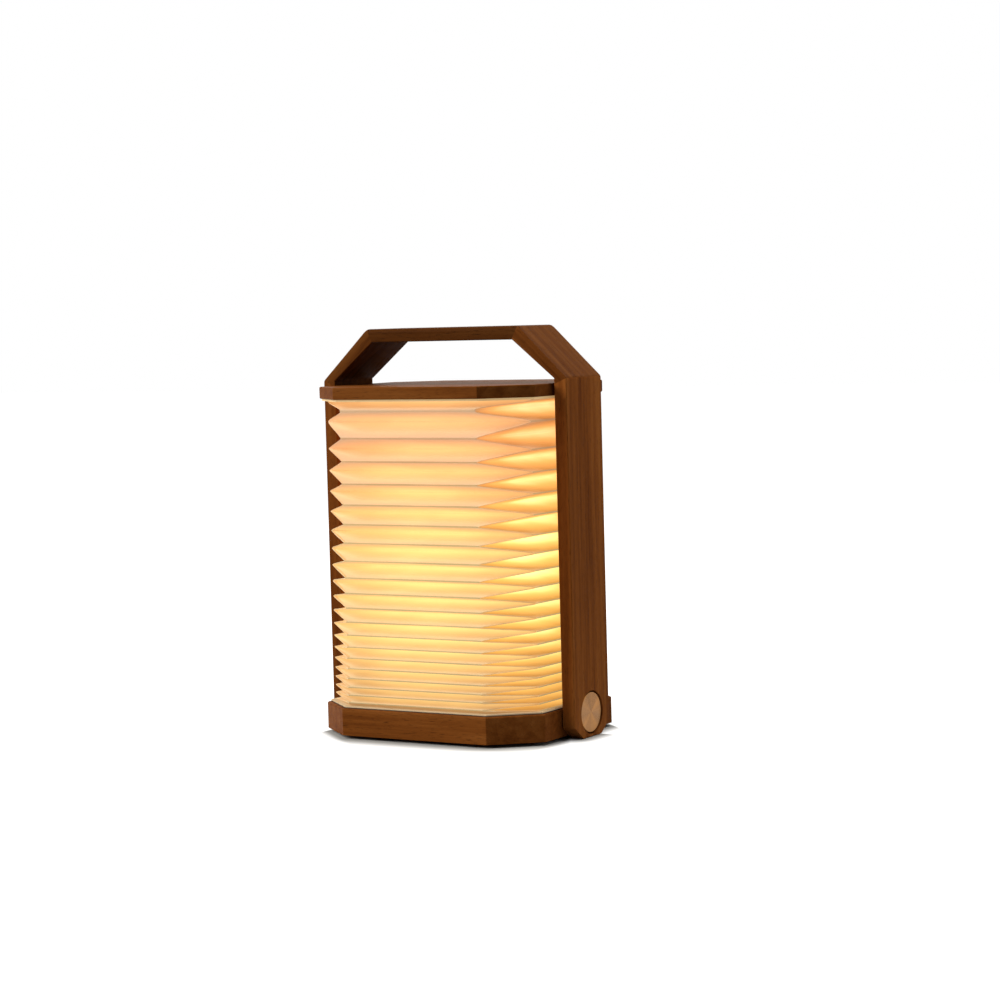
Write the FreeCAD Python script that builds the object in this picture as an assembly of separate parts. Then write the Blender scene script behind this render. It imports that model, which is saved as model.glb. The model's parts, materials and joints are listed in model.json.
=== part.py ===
import FreeCAD, Part
import math
import os

# Pleated paper lantern: walnut base, sliding walnut lid, swinging walnut handle.
# Millimetres, +Z up, origin on the table under the middle of the base.
# X runs from leg to leg, -Y is the front.

# Plan of the base, an octagon with long front and back sides
plan_width = 145.0
plan_depth = 118.8
corner_run_x = 25.0
corner_run_y = 21.4

# Base, with its pocket for the electronics
foot_height = 2.0
base_height = 15.3
base_arris = 1.0
end_wall = 11.5
side_wall = 17.4
roof_thickness = 3.2
cover_margin = 5.0
cover_thickness = 1.5
foot_diameter = 10.0
foot_inset_x = 26.5
foot_inset_y = 24.4

# Handle, a mitred hoop of five boards
leg_thickness = 8.0
handle_width = 39.3
handle_height = 230.7
shoulder_rise = 29.2
bar_length = 100.4
bar_thickness = 7.6
shoulder_thickness = 8.0
shoulder_foot_thickness = 5.6
handle_arris = 0.7
crease_round = 2.5
leg_end_run = 9.4
leg_end_rise = 7.0
spline_length = 8.0
spline_thickness = 1.5
spline_width = 24.0

# Pivot of the handle, with the push button in its right hub
pivot_drop = 3.5
hub_radius = 5.0
hub_head_radius = 8.0
hub_head_thickness = 0.7
spigot_radius = 2.4
spigot_length = 6.5
collar_radius = 3.4
collar_thickness = 0.3
disc_end_wall = 1.2
disc_setback = 0.6
disc_thickness = 1.65
disc_arris = 0.4
stem_radius = 1.5
button_travel = 0.5

# Lid and the catch that holds it up
lid_thickness = 6.9
lid_arris = 0.8
magnet_radius = 2.5
magnet_length = 4.0
catch_length = 3.0

# Pleated paper shade between two white cards
pleat_count = 20
strip_width = 24.8
paper_thickness = 0.3
slack_share = 0.41
shade_inset_x = 3.2
shade_inset_y = 1.8
card_inset = 2.0
card_thickness = 1.2
card_rim = 4.0

# Light module on top of the base
led_board_margin = 2.5
led_board_thickness = 1.6
led_columns = 6
led_rows = 4
led_x = 2.8
led_y = 3.5
led_height = 0.7
diffuser_clear = 8.6
diffuser_height = 14.0
diffuser_wall = 1.5
diffuser_corner = 6.0
wire_hole_radius = 3.0

# Electronics in the pocket
battery_end_gap = 19.0
battery_side_gap = 6.0
battery_height = 7.0
battery_corner = 2.5
control_x = 50.0
control_y = 24.0
control_thickness = 1.2
board_rise = 2.9
control_tongue_x = 14.0
spacer_radius = 2.2
spacer_inset = 3.5
chip_x = 7.0
chip_height = 1.2
socket_x = 9.0
socket_y = 7.4
socket_height = 3.3
socket_corner = 1.4
socket_wall = 0.35
socket_tongue = 0.8
socket_setback = 0.6
notch_x = 24.0
notch_wall = 6.0
switch_side = 4.0
switch_thickness = 3.5
plunger_radius = 0.9
plunger_length = 0.7

# Fasteners
screw_radius = 1.2
screw_head_radius = 2.4
screw_head_height = 1.2
screw_length = 8.0
card_screw_length = 4.5
cover_screw_inset = 42.5
driver_slot_width = 0.6
driver_slot_depth = 0.5

# Clearances
leg_gap = 0.5
lid_gap = 1.5
floor_gap = 0.4
swing_gap = 0.1
running_gap = 0.05
seat_gap = 0.05
cover_gap = 0.2
disc_gap = 0.8
button_gap = 0.1
glue_gap = 0.02
overrun = 1.0
pick_tolerance = 0.01

# Base: heights and half sizes that follow from the values above
base_top = foot_height + base_height
pocket_roof = base_top - roof_thickness
half_width = plan_width / 2
half_depth = plan_depth / 2
pocket_width = plan_width - end_wall * 2
pocket_depth = plan_depth - side_wall * 2
foot_pitch_x = plan_width - foot_inset_x * 2
foot_pitch_y = plan_depth - foot_inset_y * 2
cover_screw_pitch_x = plan_width - cover_screw_inset * 2
cover_screw_pitch_y = pocket_depth + side_wall - cover_margin
board_bottom = foot_height + cover_thickness + board_rise
control_gap = pocket_roof - board_bottom - control_thickness
board_back = pocket_depth / 2 - seat_gap
notch_back = half_depth - notch_wall
battery_x = pocket_width - battery_end_gap * 2
battery_y = pocket_depth - control_y - battery_side_gap * 2

# Handle and pivot
leg_inner = half_width + leg_gap
leg_outer = leg_inner + leg_thickness
half_handle = handle_width / 2
crease_height = handle_height - shoulder_rise
shoulder_run = leg_outer - bar_length / 2
shoulder_slope = shoulder_rise / shoulder_run
shoulder_length = math.hypot(shoulder_run, shoulder_rise)
shoulder_drop = shoulder_thickness * shoulder_length / shoulder_run
foot_drop = shoulder_foot_thickness * shoulder_length / shoulder_run
inner_crease_height = crease_height + leg_thickness * shoulder_slope - foot_drop
mitre_height = crease_height - leg_thickness * (shoulder_length - shoulder_rise) / shoulder_run
bar_under = handle_height - bar_thickness
inner_bar_x = bar_length / 2 + (bar_thickness - shoulder_drop) / shoulder_slope
inner_slope = (bar_under - inner_crease_height) / (leg_inner - inner_bar_x)
pivot_height = base_top - pivot_drop
disc_radius = pivot_height - floor_gap - disc_end_wall - disc_gap
disc_face = leg_outer - disc_setback
disc_back = disc_face - disc_thickness
hub_head_outer = disc_back - button_travel - button_gap
hub_head_inner = hub_head_outer - hub_head_thickness
recess_floor = hub_head_inner - collar_thickness / 2
spigot_end = half_width - spigot_length
stem_end = spigot_end - seat_gap
switch_face = stem_end - button_travel - button_gap - plunger_length

# Lid: its end corners pass under the shoulders as the handle swings over them
lid_reach = leg_inner - lid_gap
lid_corner_y = half_depth - corner_run_y
lid_sweep = inner_crease_height + lid_gap * inner_slope - pivot_height - swing_gap
lid_top = pivot_height + math.sqrt(lid_sweep * lid_sweep - lid_corner_y * lid_corner_y)
lid_bottom = lid_top - lid_thickness
lid_middle = lid_bottom + lid_thickness / 2

# Shade and light
shade_bottom = base_top + card_thickness
shade_top = lid_bottom - card_thickness
diffuser_x = plan_width - (shade_inset_x + strip_width + diffuser_clear) * 2
diffuser_y = plan_depth - (shade_inset_y + strip_width + diffuser_clear) * 2
card_opening_x = diffuser_x + card_rim * 2
card_opening_y = diffuser_y + card_rim * 2
led_board_x = diffuser_x - (diffuser_wall + led_board_margin) * 2
led_board_y = diffuser_y - (diffuser_wall + led_board_margin) * 2

X_AXIS = FreeCAD.Vector(1, 0, 0)
Y_AXIS = FreeCAD.Vector(0, 1, 0)
Z_AXIS = FreeCAD.Vector(0, 0, 1)
ORIGIN = FreeCAD.Vector(0, 0, 0)


def save(name, shape):
    shape.exportStep("parts/" + name + ".step")


def closed_face(points):
    return Part.Face(Part.makePolygon(points + points[:1]))


def octagon(inset, z):
    # The plan's outline moved inwards by one distance on every side
    corner_angle = math.atan2(corner_run_y, corner_run_x)
    side_angle = math.pi / 2 - corner_angle
    far_x = half_width - inset
    far_y = half_depth - inset
    near_x = half_width - corner_run_x - inset * math.tan(corner_angle / 2)
    near_y = half_depth - corner_run_y - inset * math.tan(side_angle / 2)
    quarter = [(far_x, near_y), (near_x, far_y)]
    half = quarter + [(-x, y) for x, y in reversed(quarter)]
    whole = half + [(-x, -y) for x, y in half]
    return [FreeCAD.Vector(x, y, z) for x, y in whole]


def octagon_plate(inset, z, thickness):
    return closed_face(octagon(inset, z)).extrude(Z_AXIS * thickness)


def block(size_x, size_y, size_z, centre_x, centre_y, low_z):
    corner = FreeCAD.Vector(centre_x - size_x / 2, centre_y - size_y / 2, low_z)
    return Part.makeBox(size_x, size_y, size_z, corner)


def rounded_block(size_x, size_y, size_z, corner, centre_x, centre_y, low_z):
    solid = block(size_x, size_y, size_z, centre_x, centre_y, low_z)
    upright = [edge for edge in solid.Edges if edge.BoundBox.ZLength > size_z / 2]
    return solid.makeFillet(corner, upright)


def post(radius, length, x, y, low_z):
    return Part.makeCylinder(radius, length, FreeCAD.Vector(x, y, low_z), Z_AXIS)


def side_post(radius, start_x, end_x, height):
    # A cylinder along X on the pivot's plane
    place = FreeCAD.Vector(start_x, 0, height)
    return Part.makeCylinder(radius, end_x - start_x, place, X_AXIS)


def mirrored(shape):
    return shape.mirror(ORIGIN, X_AXIS)


def corners(pitch_x, pitch_y):
    return [(x, y) for x in (-pitch_x / 2, pitch_x / 2) for y in (-pitch_y / 2, pitch_y / 2)]


def group(solids):
    return Part.makeCompound(solids)


def cut_all(solid, tools):
    for tool in tools:
        solid = solid.cut(tool)
    return solid


def screw(length, x, y, head_z):
    # A countersunk screw driven upwards; its head's flat face lies at head_z
    place = FreeCAD.Vector(x, y, head_z)
    head = Part.makeCone(screw_head_radius, screw_radius, screw_head_height, place, Z_AXIS)
    shank = post(screw_radius, length, x, y, head_z)
    slot = block(screw_head_radius * 2, driver_slot_width, driver_slot_depth, x, y, head_z)
    return head.fuse(shank).cut(slot).removeSplitter()


def screw_hole(length, x, y, head_z):
    wide = screw_head_radius + seat_gap
    narrow = screw_radius + seat_gap
    place = FreeCAD.Vector(x, y, head_z)
    head = Part.makeCone(wide, narrow, screw_head_height, place, Z_AXIS)
    return head.fuse(post(narrow, length + seat_gap, x, y, head_z))


def base_block():
    solid = octagon_plate(0, foot_height, base_height)
    outside = [edge for edge in solid.Edges if edge.BoundBox.ZMax > foot_height + pick_tolerance]
    solid = solid.makeFillet(base_arris, outside)
    pocket_height = pocket_roof - foot_height
    rebate = octagon_plate(cover_margin, foot_height - overrun, cover_thickness + overrun)
    pocket = block(pocket_width, pocket_depth, pocket_height, 0, 0, foot_height)
    notch_y = notch_back + overrun
    notch = block(notch_x, notch_y, pocket_height, 0, notch_y / 2 - overrun, foot_height)
    wire_hole = post(wire_hole_radius, roof_thickness + overrun, 0, 0, pocket_roof)
    slot = block(socket_x + seat_gap * 2, notch_wall * 2, socket_height + seat_gap * 2,
                 0, half_depth, board_bottom + control_thickness - seat_gap)
    switch_room = switch_side + seat_gap * 2
    cavity_end = switch_face + plunger_length + button_gap
    cavity_x = cavity_end - pocket_width / 2 + overrun
    cavity = block(cavity_x, switch_room, switch_room, cavity_end - cavity_x / 2, 0,
                   pivot_height - switch_room / 2)
    hole = spigot_radius + seat_gap
    right_hole = side_post(hole, cavity_end - overrun, half_width + overrun, pivot_height)
    left_hole = mirrored(side_post(hole, spigot_end, half_width + overrun, pivot_height))
    pilots = [screw_hole(screw_length, x, y, foot_height)
              for x, y in corners(cover_screw_pitch_x, cover_screw_pitch_y)]
    return cut_all(solid, [rebate, pocket, notch, wire_hole, slot, cavity, right_hole, left_hole] + pilots)


def base_cover():
    plate = octagon_plate(cover_margin + cover_gap, foot_height, cover_thickness)
    holes = [screw_hole(screw_length, x, y, foot_height)
             for x, y in corners(cover_screw_pitch_x, cover_screw_pitch_y)]
    return cut_all(plate, holes)


def cover_screws():
    places = corners(cover_screw_pitch_x, cover_screw_pitch_y)
    return group([screw(screw_length, x, y, foot_height) for x, y in places])


def rubber_feet():
    feet = []
    for x, y in corners(foot_pitch_x, foot_pitch_y):
        foot = post(foot_diameter / 2, foot_height, x, y, 0)
        rim = [edge for edge in foot.Edges if edge.BoundBox.ZMax < pick_tolerance]
        feet.append(foot.makeChamfer(foot_height / 4, rim))
    return group(feet)


def battery_pack():
    low_z = pocket_roof - battery_height
    middle_y = battery_side_gap + battery_y / 2 - pocket_depth / 2
    return rounded_block(battery_x, battery_y, battery_height, battery_corner, 0, middle_y, low_z)


def control_board():
    board = block(control_x, control_y, control_thickness, 0, board_back - control_y / 2, board_bottom)
    tongue_back = notch_back - seat_gap
    tongue_y = tongue_back - board_back + overrun
    tongue_middle = tongue_back - tongue_y / 2
    tongue = block(control_tongue_x, tongue_y, control_thickness, 0, tongue_middle, board_bottom)
    chip_z = board_bottom - chip_height
    chips = [block(chip_x, chip_x, chip_height, x, board_back - control_y / 2, chip_z)
             for x in (-control_x / 4, 0, control_x / 4)]
    solid = board.fuse([tongue] + chips)
    holes = [post(spacer_radius / 2 + seat_gap, control_thickness, x, y, board_bottom)
             for x, y in spacer_places()]
    return cut_all(solid, holes).removeSplitter()


def spacer_places():
    middle_y = board_back - control_y / 2
    pitches = corners(control_x - spacer_inset * 2, control_y - spacer_inset * 2)
    return [(x, y + middle_y) for x, y in pitches]


def board_spacers():
    spacers = []
    for x, y in spacer_places():
        body = post(spacer_radius, control_gap, x, y, board_bottom + control_thickness)
        peg = post(spacer_radius / 2, control_thickness, x, y, board_bottom)
        spacers.append(body.fuse(peg).removeSplitter())
    return group(spacers)


def usb_socket():
    low_z = board_bottom + control_thickness
    middle_y = half_depth - socket_setback - socket_y / 2
    shell = block(socket_x, socket_y, socket_height, 0, middle_y, low_z)
    along = [edge for edge in shell.Edges if edge.BoundBox.YLength > socket_y / 2]
    shell = shell.makeFillet(socket_corner, along)
    inner_x = socket_x - socket_wall * 2
    inner_z = socket_height - socket_wall * 2
    hollow = block(inner_x, socket_y, inner_z, 0, middle_y + socket_wall, low_z + socket_wall)
    along = [edge for edge in hollow.Edges if edge.BoundBox.YLength > socket_y / 2]
    hollow = hollow.makeFillet(socket_corner - socket_wall, along)
    tongue_z = low_z + socket_height / 2 - socket_tongue / 2
    tongue = block(inner_x * 3 / 4, socket_y * 3 / 4, socket_tongue, 0, middle_y, tongue_z)
    tongue.translate(Y_AXIS * (-socket_y / 8))
    return shell.cut(hollow).fuse(tongue).removeSplitter()


def push_switch():
    middle_x = switch_face - switch_thickness / 2
    body = block(switch_thickness, switch_side, switch_side, middle_x, 0, pivot_height - switch_side / 2)
    plunger = side_post(plunger_radius, switch_face, switch_face + plunger_length, pivot_height)
    return body.fuse(plunger).removeSplitter()


def led_board():
    board = block(led_board_x, led_board_y, led_board_thickness, 0, 0, base_top)
    return board.cut(post(wire_hole_radius, led_board_thickness, 0, 0, base_top))


def led_chips():
    low_z = base_top + led_board_thickness
    chips = []
    for column in range(led_columns):
        for row in range(led_rows):
            x = (column - (led_columns - 1) / 2) * led_board_x / led_columns
            y = (row - (led_rows - 1) / 2) * led_board_y / led_rows
            chips.append(block(led_x, led_y, led_height, x, y, low_z))
    return group(chips)


def led_diffuser():
    outer = rounded_block(diffuser_x, diffuser_y, diffuser_height, diffuser_corner, 0, 0, base_top)
    rim_z = base_top + diffuser_height - pick_tolerance
    rim = [edge for edge in outer.Edges if edge.BoundBox.ZMin > rim_z]
    outer = outer.makeFillet(diffuser_corner / 2, rim)
    inner = rounded_block(diffuser_x - diffuser_wall * 2, diffuser_y - diffuser_wall * 2,
                          diffuser_height - diffuser_wall, diffuser_corner - diffuser_wall, 0, 0, base_top)
    return outer.cut(inner)


def lower_card():
    plate = octagon_plate(card_inset, base_top, card_thickness)
    return plate.cut(block(card_opening_x, card_opening_y, card_thickness, 0, 0, base_top))


def upper_card():
    plate = octagon_plate(card_inset, shade_top, card_thickness)
    holes = [screw_hole(card_screw_length, x, y, shade_top)
             for x, y in corners(diffuser_x, diffuser_y)]
    return cut_all(plate, holes)


def upper_card_screws():
    places = corners(diffuser_x, diffuser_y)
    return group([screw(card_screw_length, x, y, shade_top) for x, y in places])


def level_heights():
    # The paper hangs from the lid, so its folds open more towards the top
    count = pleat_count * 2
    heights = []
    for index in range(count + 1):
        part = index / count
        share = slack_share * part + (1 - slack_share) * part * part
        low = shade_bottom + glue_gap
        heights.append(low + (shade_top - glue_gap - low) * share)
    return heights


def shade_rings(inside):
    # Even folds stand out at the ends, odd folds at the front and back
    heights = level_heights()
    middle_x = half_width - shade_inset_x - strip_width / 2
    middle_y = half_depth - shade_inset_y - strip_width / 2
    rings = []
    for index, z in enumerate(heights):
        above = heights[min(index + 1, len(heights) - 1)]
        below = heights[max(index - 1, 0)]
        steps = min(index, 1) + min(len(heights) - 1 - index, 1)
        rise = (above - below) / steps
        depth = math.sqrt(strip_width * strip_width - rise * rise)
        reach = depth / 2 if index % 2 == 0 else -depth / 2
        wall = paper_thickness * strip_width / rise if inside else 0
        far_x = middle_x + reach - wall
        far_y = middle_y - reach - wall
        plan = [(-far_x, -far_y), (far_x, -far_y), (far_x, far_y), (-far_x, far_y)]
        rings.append([FreeCAD.Vector(x, y, z) for x, y in plan])
    return rings


def ring_walls(rings):
    walls = []
    for low, high in zip(rings, rings[1:]):
        for side in range(len(low)):
            after = (side + 1) % len(low)
            walls.append(closed_face([low[side], low[after], high[after], high[side]]))
    return walls


def paper_shade():
    outer = shade_rings(False)
    inner = shade_rings(True)
    ends = []
    for index in (0, -1):
        rim = Part.makePolygon(outer[index] + outer[index][:1])
        hole = Part.makePolygon(inner[index] + inner[index][:1])
        ends.append(Part.Face(rim).cut(Part.Face(hole)).Faces[0])
    shell = Part.makeShell(ring_walls(outer) + ring_walls(inner) + ends)
    solid = Part.makeSolid(shell)
    if solid.Volume < 0:
        solid.reverse()
    return solid


def lid_outline(z):
    # The base's plan, drawn in at the ends to pass between the legs
    plan = [(max(-lid_reach, min(lid_reach, point.x)), point.y) for point in octagon(0, z)]
    return [FreeCAD.Vector(x, y, z) for x, y in plan]


def lid_board():
    solid = closed_face(lid_outline(lid_bottom)).extrude(Z_AXIS * lid_thickness)
    solid = solid.makeFillet(lid_arris, solid.Edges)
    blind_end = lid_reach - magnet_length - seat_gap
    right = side_post(magnet_radius + seat_gap, blind_end, lid_reach + overrun, lid_middle)
    pilots = [screw_hole(card_screw_length, x, y, shade_top)
              for x, y in corners(diffuser_x, diffuser_y)]
    return cut_all(solid, [right, mirrored(right)] + pilots)


def lid_magnets():
    right = side_post(magnet_radius, lid_reach - magnet_length, lid_reach, lid_middle)
    return group([right, mirrored(right)])


def leg_magnets():
    right = side_post(magnet_radius, leg_inner, leg_inner + catch_length, lid_middle)
    return group([right, mirrored(right)])


def hoop_points():
    # The hoop's outer and inner corners on the right half, from leg to bar
    outer_low = (leg_outer, crease_height)
    outer_high = (bar_length / 2, handle_height)
    inner_low = (leg_inner, inner_crease_height)
    return outer_low, outer_high, inner_low, (inner_bar_x, bar_under)


def low_mitre():
    # The lower mitre halves the bend between leg and shoulder
    return (leg_outer, crease_height), (leg_inner, mitre_height)


def handle_slab(points):
    # A slab as deep as the handle is wide, drawn on X and Z
    outline = [FreeCAD.Vector(x, -half_handle, z) for x, z in points]
    return closed_face(outline).extrude(Y_AXIS * handle_width)


def flipped(points):
    return [(-x, z) for x, z in points]


def hoop():
    # The whole handle before it is cut at its mitres
    outer_low, outer_high, inner_low, inner_high = hoop_points()
    outside = [(leg_outer, floor_gap), outer_low, outer_high]
    inside = [inner_high, inner_low, (leg_inner, floor_gap)]
    left_outside = flipped(reversed(outside))
    left_inside = flipped(reversed(inside))
    solid = handle_slab(outside + left_outside + left_inside + inside)
    creases = []
    for edge in solid.Edges:
        box = edge.BoundBox
        reach = max(abs(box.XMin), abs(box.XMax))
        for x, z in (outer_low, outer_high):
            if abs(box.ZMin - z) + abs(box.ZMax - z) + abs(reach - x) < pick_tolerance:
                creases.append(edge)
    solid = solid.makeFillet(crease_round, creases)
    arrises = []
    for edge in solid.Edges:
        box = edge.BoundBox
        on_face = box.YLength < pick_tolerance and abs(abs(box.YMax) - half_handle) < pick_tolerance
        if on_face and box.ZMax > floor_gap + pick_tolerance:
            arrises.append(edge)
    return solid.makeFillet(handle_arris, arrises)


def mitre_ends(outer, inner):
    # The mitre's line, drawn on past the board on both sides
    run = outer[0] - inner[0]
    rise = outer[1] - inner[1]
    return (inner[0] - run, inner[1] - rise), (outer[0] + run, outer[1] + rise)


def hoop_part(points):
    return hoop().common(handle_slab(points))


def spline_blank(outer, inner, grow):
    # A thin tongue that crosses a mitre at its middle
    middle_x = (outer[0] + inner[0]) / 2
    middle_z = (outer[1] + inner[1]) / 2
    size = math.hypot(outer[0] - inner[0], outer[1] - inner[1])
    along = ((outer[0] - inner[0]) / size, (outer[1] - inner[1]) / size)
    across = (-along[1], along[0])
    half_long = spline_length / 2 + grow
    half_thick = spline_thickness / 2 + grow
    outline = []
    for long_way, thick_way in ((-1, -1), (1, -1), (1, 1), (-1, 1)):
        x = middle_x + across[0] * half_long * long_way + along[0] * half_thick * thick_way
        z = middle_z + across[1] * half_long * long_way + along[1] * half_thick * thick_way
        outline.append(FreeCAD.Vector(x, -spline_width / 2 - grow, z))
    return closed_face(outline).extrude(Y_AXIS * (spline_width + grow * 2))


def low_spline(grow):
    outer, inner = low_mitre()
    return spline_blank(outer, inner, grow)


def high_spline(grow):
    outer_low, outer_high, inner_low, inner_high = hoop_points()
    return spline_blank(outer_high, inner_high, grow)


def mitre_splines():
    right = [low_spline(0), high_spline(0)]
    return group(right + [mirrored(solid) for solid in right])


def right_leg():
    low = floor_gap
    near, far = mitre_ends(*low_mitre())
    board = hoop_part([(near[0], low), (far[0], low), far, near])
    for side in (-1, 1):
        edge_y = half_handle * side
        cut_y = (half_handle - leg_end_run) * side
        tip = [FreeCAD.Vector(leg_inner - overrun, edge_y, low + leg_end_rise),
               FreeCAD.Vector(leg_inner - overrun, edge_y, low),
               FreeCAD.Vector(leg_inner - overrun, cut_y, low)]
        board = board.cut(closed_face(tip).extrude(X_AXIS * (leg_thickness + overrun * 2)))
    bore = side_post(hub_radius + running_gap, leg_inner - overrun, leg_outer + overrun, pivot_height)
    recess = side_post(disc_radius + disc_gap, recess_floor, leg_outer + overrun, pivot_height)
    catch = side_post(magnet_radius + seat_gap, leg_inner - overrun,
                      leg_inner + catch_length + seat_gap, lid_middle)
    return cut_all(board, [bore, recess, catch, low_spline(seat_gap)])


def left_leg():
    return mirrored(right_leg())


def right_shoulder():
    outer_low, outer_high, inner_low, inner_high = hoop_points()
    low_near, low_far = mitre_ends(*low_mitre())
    high_near, high_far = mitre_ends(outer_high, inner_high)
    board = hoop_part([low_near, low_far, high_far, high_near])
    return cut_all(board, [low_spline(seat_gap), high_spline(seat_gap)])


def left_shoulder():
    return mirrored(right_shoulder())


def top_bar():
    outer_low, outer_high, inner_low, inner_high = hoop_points()
    near, far = mitre_ends(outer_high, inner_high)
    board = hoop_part([near, far] + flipped([far, near]))
    slot = high_spline(seat_gap)
    return cut_all(board, [slot, mirrored(slot)])


def hub():
    spigot = side_post(spigot_radius, spigot_end, half_width, pivot_height)
    collar = side_post(collar_radius, half_width, half_width + collar_thickness, pivot_height)
    bearing = side_post(hub_radius, half_width + collar_thickness, hub_head_inner, pivot_height)
    head = side_post(hub_head_radius, hub_head_inner, hub_head_outer, pivot_height)
    return spigot.fuse([collar, bearing, head]).removeSplitter()


def right_hub():
    bore = side_post(stem_radius + running_gap, spigot_end - overrun, hub_head_outer + overrun, pivot_height)
    return hub().cut(bore)


def left_hub():
    return mirrored(hub())


def brass_disc(back):
    disc = side_post(disc_radius, back, disc_face, pivot_height)
    rim = [edge for edge in disc.Edges if edge.BoundBox.XMin > disc_face - pick_tolerance]
    return disc.makeFillet(disc_arris, rim)


def power_button():
    stem = side_post(stem_radius, stem_end, disc_back, pivot_height)
    return brass_disc(disc_back).fuse(stem).removeSplitter()


def pivot_cap():
    return mirrored(brass_disc(hub_head_outer))


NODES = {
    "base_block": base_block, "base_cover": base_cover, "cover_screws": cover_screws,
    "rubber_feet": rubber_feet, "battery_pack": battery_pack, "control_board": control_board,
    "board_spacers": board_spacers, "usb_socket": usb_socket, "push_switch": push_switch,
    "led_board": led_board, "led_chips": led_chips, "led_diffuser": led_diffuser,
    "lower_card": lower_card, "upper_card": upper_card, "upper_card_screws": upper_card_screws,
    "paper_shade": paper_shade, "lid_board": lid_board, "lid_magnets": lid_magnets,
    "right_leg": right_leg, "left_leg": left_leg, "right_shoulder": right_shoulder,
    "left_shoulder": left_shoulder, "top_bar": top_bar, "mitre_splines": mitre_splines,
    "leg_magnets": leg_magnets, "right_hub": right_hub, "left_hub": left_hub,
    "power_button": power_button, "pivot_cap": pivot_cap,
}

os.makedirs("parts", exist_ok=True)
for node_name, make_node in NODES.items():
    save(node_name, make_node())
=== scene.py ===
import bisect
import json
import math

import bmesh
import bpy
from mathutils import Matrix, Vector


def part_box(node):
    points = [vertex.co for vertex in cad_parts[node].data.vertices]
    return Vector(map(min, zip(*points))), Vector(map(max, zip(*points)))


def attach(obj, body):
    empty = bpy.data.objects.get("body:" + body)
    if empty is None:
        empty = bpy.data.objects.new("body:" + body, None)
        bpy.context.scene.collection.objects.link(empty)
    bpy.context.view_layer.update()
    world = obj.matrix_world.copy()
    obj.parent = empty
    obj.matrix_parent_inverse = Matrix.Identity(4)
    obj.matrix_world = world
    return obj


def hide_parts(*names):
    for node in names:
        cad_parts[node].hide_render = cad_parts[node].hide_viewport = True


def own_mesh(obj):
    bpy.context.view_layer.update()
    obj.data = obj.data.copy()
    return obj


bl_info = {
    "name": "Pleated paper lantern",
    "version": (1, 0, 0),
    "blender": (4, 5, 0),
    "location": "3D View > Sidebar > Lantern",
    "description": "Folds the paper shade of a walnut lantern and finishes each of its pieces",
    "category": "Object",
}

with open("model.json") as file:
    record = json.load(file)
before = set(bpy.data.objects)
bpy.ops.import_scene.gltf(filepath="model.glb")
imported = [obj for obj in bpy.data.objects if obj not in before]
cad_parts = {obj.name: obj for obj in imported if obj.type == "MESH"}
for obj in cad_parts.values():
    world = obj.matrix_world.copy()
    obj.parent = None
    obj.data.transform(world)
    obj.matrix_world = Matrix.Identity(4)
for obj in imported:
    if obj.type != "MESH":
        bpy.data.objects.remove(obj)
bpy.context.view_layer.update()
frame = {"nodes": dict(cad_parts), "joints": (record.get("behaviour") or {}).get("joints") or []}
NODES = frame["nodes"]
PIVOT = next(Vector(joint["pos_m"]) for joint in frame["joints"] if joint["name"] == "handle_swing")

# Cut corners of the base, along its length and its depth
CORNER_LENGTH = 0.0250
CORNER_DEPTH = 0.0214
# Shares of a strip's width at which the paper gets a row of points between two folds
STRIP_ROW_SHARES = (0.04, 0.2, 0.4, 0.6, 0.8, 0.96)
PANEL_CUTS = 11
SAME_PLACE = 2e-5
# Turn from one fold to the next in the wave by which the folds differ
UNEVEN_TURN = 2.4
# How suddenly the folds soften towards the top, and how much of their crease they lose there
SOFT_POWER = 24
SOFT_FADE = 0.55
# Share of a corner's rounding that counts as its crease
CORNER_CREASE_SHARE = 0.7
# How much a step along a panel counts against a step out of it, where the glow fades
FRONT_SIDEWAYS = 0.55
END_SIDEWAYS = 0.95
# Sizes of the paper's clouds and of its fibres along and across, and the depth of its pulp
CLOUD_SIZES = (0.030, 0.030, 0.012)
FIBRE_SIZES = (0.0022, 0.0006, 0.0006)
CROSS_FIBRE_SIZES = (0.0006, 0.0022, 0.0010)
PULP_DEPTH = 0.00004
# Where the glow has which colour, from the inner folds to the outer ones
FRONT_STOPS = (0.05, 0.75, 1.0)
END_STOPS = (0.02, 0.38, 0.86)
# Tints of the glow between the foot and the top of the shade
GLOW_TINTS = ((0.25, (0.95, 0.96, 1.0)), (0.5, (1.0, 1.0, 1.0)),
              (0.78, (0.97, 0.79, 0.84)), (0.88, (0.93, 0.69, 0.80)))
# Shares of streaks, broad bands, rings and fibres in the wood's figure
STREAK_WEIGHT = 0.52
BROAD_WEIGHT = 0.32
RING_WEIGHT = 0.06
FIBRE_WEIGHT = 0.10
# Where the figure turns from dark grain to the ground and from there to pale grain
FIGURE_STOPS = (0.32, 0.50, 0.70)
PORE_DEPTH = 0.00006
# Depth of the brass's turning marks, and the sizes of a scratch in brushed metal
TURNING_DEPTH = 0.000006
SCRATCH_LENGTH = 0.006
SCRATCH_WIDTH = 0.00015
SCRATCH_DEPTH = 0.00001
# Painted shadow in the gap under the lower card: the height of the dark band, the height over which
# it gives way to the board, and its colour
GAP_SHADOW_HEIGHT = 0.0004
GAP_SHADOW_FADE = 0.0002
PAINTED_GAP_SHADOW = (0.02, 0.008, 0.004)
# Each card's finish, and the colour and strength of the lamplight in it
CARDS = {
    "lower_card": ("lower_board", (0.55, 0.42, 0.25), 0.18),
    "upper_card": ("upper_board", (0.80, 0.52, 0.20), 0.42),
}
FLOOR_SIZE = 12.0
# Each lamp's setting, direction, distance and size
LAMPS = {
    "key": ((-0.62, -0.60, 0.50), 1.6, 1.0),
    "top": ((0.35, 0.25, 0.90), 1.4, 0.8),
    "side": ((0.95, 0.35, 0.15), 1.4, 0.9),
    "rim": ((-0.50, 0.85, 0.30), 1.6, 1.2),
}
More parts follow.
